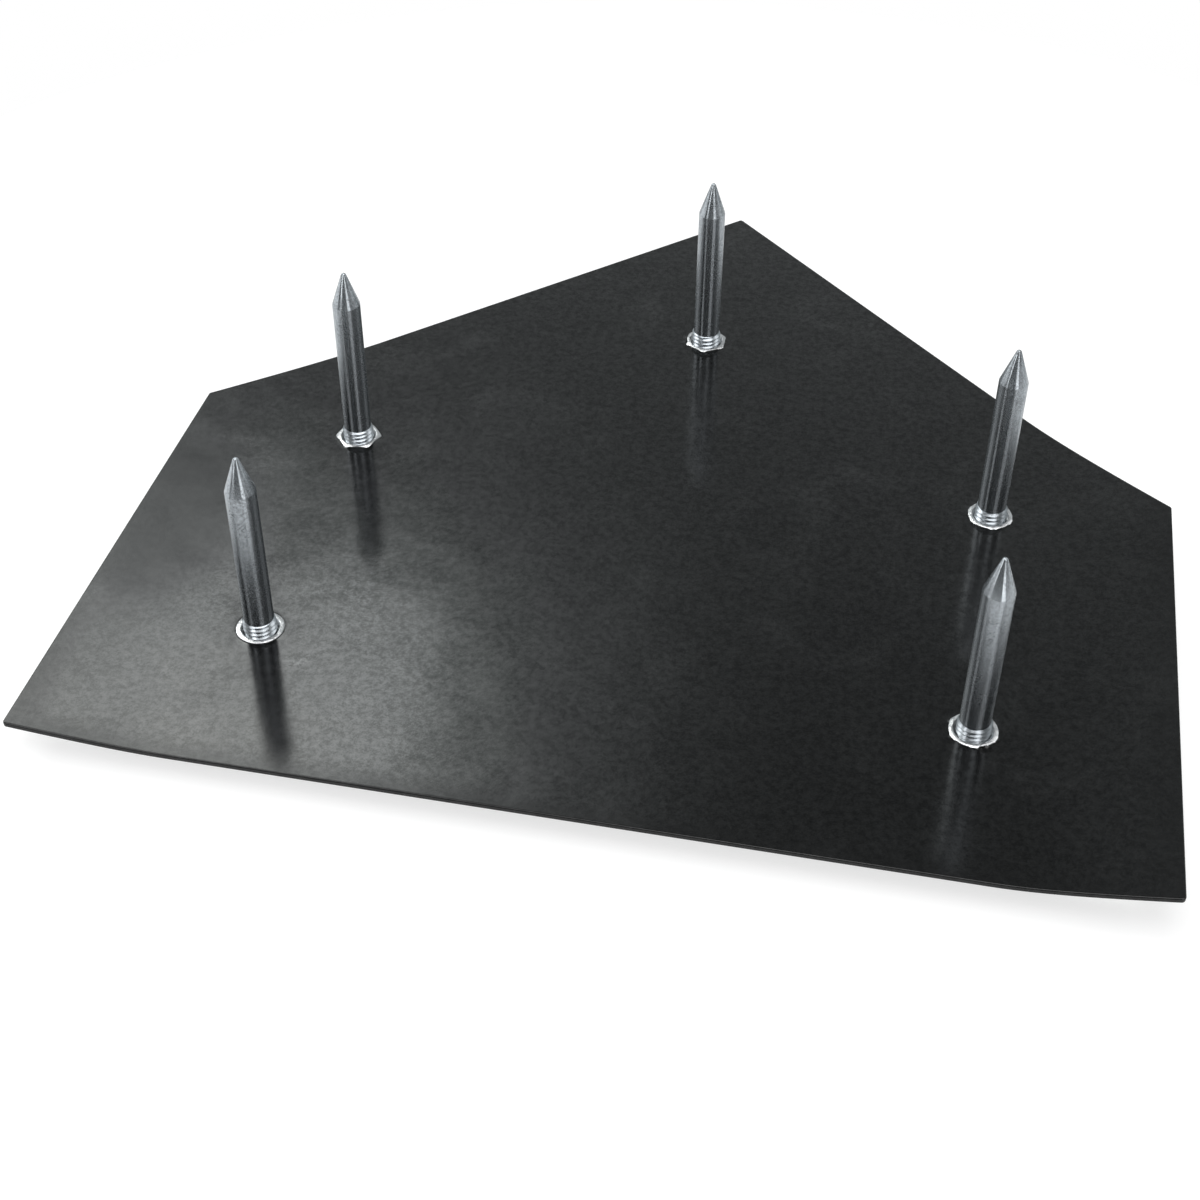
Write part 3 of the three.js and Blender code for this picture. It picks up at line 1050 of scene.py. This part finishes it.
def studio_floor(settings):
    bm = bmesh.new()
    level = Matrix.Translation((0, 0, FLOOR_RISE))
    bmesh.ops.create_circle(bm, cap_ends=True, segments=RING_STEPS, radius=settings.table, matrix=level)
    floor = new_object(bm, "studio_floor", [finished(floor_paper, settings)])


# Operators


class HOMEPLATE_OT_rubber_base(Operator):
    """Mould the black rubber base with its rim, bevel, tray and five anchor pockets"""
    bl_idname = "home_plate.rubber_base"
    bl_label = "Rubber Base"

    def execute(self, context):
        settings = context.scene.home_plate
        bm = base_mesh(settings.base, settings.nut)
        finish = finished(black_rubber, settings.base)
        finish_piece(bm, "moulded_base", [finish], "plate", ["rubber_base"])
        return {"FINISHED"}


class HOMEPLATE_OT_playing_face(Operator):
    """Lay the white playing face into the base's tray"""
    bl_idname = "home_plate.playing_face"
    bl_label = "Playing Face"

    def execute(self, context):
        settings = context.scene.home_plate
        bm = face_mesh(settings.face, settings.base)
        finish = finished(white_rubber, settings.face)
        finish_piece(bm, "playing_face", [finish], "plate", ["white_face"])
        return {"FINISHED"}


class HOMEPLATE_OT_anchors(Operator):
    """Make the five moulded-in hex nuts and finish the washers behind them"""
    bl_idname = "home_plate.anchors"
    bl_label = "Anchor Nuts and Washers"

    def execute(self, context):
        settings = context.scene.home_plate
        nut_finish = finished(nut_steel, settings.nut)
        washer_finish = finished(washer_steel)
        for place in PLACES:
            node = f"anchor_nut_{place}"
            bm = nut_mesh(place, settings.nut, settings.spike)
            finish_piece(bm, f"hex_nut_{place}", [nut_finish], BODY_OF[node], [node])
            washer = frame["nodes"][f"anchor_washer_{place}"]
            washer.data.materials.clear()
            washer.data.materials.append(washer_finish)
        return {"FINISHED"}


class HOMEPLATE_OT_spikes(Operator):
    """Turn the five threaded ground spikes"""
    bl_idname = "home_plate.spikes"
    bl_label = "Ground Spikes"

    def execute(self, context):
        settings = context.scene.home_plate.spike
        tip = BOX[f"spike_{PLACES[0]}"][1].z
        cone_start = tip - settings.point_length
        finishes = [finished(spike_steel, settings, cone_start), finished(thread_steel, settings)]
        for place in PLACES:
            node = f"spike_{place}"
            bm = spike_mesh(place, settings)
            finish_piece(bm, f"ground_{node}", finishes, BODY_OF[node], [node])
        return {"FINISHED"}


class HOMEPLATE_OT_stage(Operator):
    """Set up the floor, the lamps, the room and the camera"""
    bl_idname = "home_plate.stage"
    bl_label = "Studio Stage"

    def execute(self, context):
        settings = context.scene.home_plate.stage
        context.scene.view_settings.view_transform = "Standard"
        studio_floor(settings)
        room(settings)
        for name, sizes in SOFTBOXES.items():
            softbox(name, *sizes)
        camera(settings)
        return {"FINISHED"}


class HOMEPLATE_PT_sidebar(Panel):
    """Lists the operators and the settings of the home plate"""
    bl_idname = "HOMEPLATE_PT_sidebar"
    bl_label = "Home Plate"
    bl_space_type = "VIEW_3D"
    bl_region_type = "UI"
    bl_category = "Home Plate"

    def draw(self, context):
        for operator in OPERATORS:
            self.layout.operator(operator.bl_idname)
        settings = context.scene.home_plate
        for group in (settings.base, settings.face, settings.nut, settings.spike, settings.stage):
            box = self.layout.box()
            for name in group.__annotations__:
                box.prop(group, name)


OPERATORS = (
    HOMEPLATE_OT_rubber_base, HOMEPLATE_OT_playing_face, HOMEPLATE_OT_anchors,
    HOMEPLATE_OT_spikes, HOMEPLATE_OT_stage,
)
CLASSES = (
    BaseSettings, FaceSettings, NutSettings, SpikeSettings, StageSettings, HomePlateSettings,
    *OPERATORS, HOMEPLATE_PT_sidebar,
)


def register():
    for cls in CLASSES:
        bpy.utils.register_class(cls)
    bpy.types.Scene.home_plate = PointerProperty(type=HomePlateSettings)


def unregister():
    del bpy.types.Scene.home_plate
    for cls in reversed(CLASSES):
        bpy.utils.unregister_class(cls)


def main():
    register()
    bpy.ops.home_plate.rubber_base()
    bpy.ops.home_plate.playing_face()
    bpy.ops.home_plate.anchors()
    bpy.ops.home_plate.spikes()
    bpy.ops.home_plate.stage()


if __name__ == "__main__":
    main()
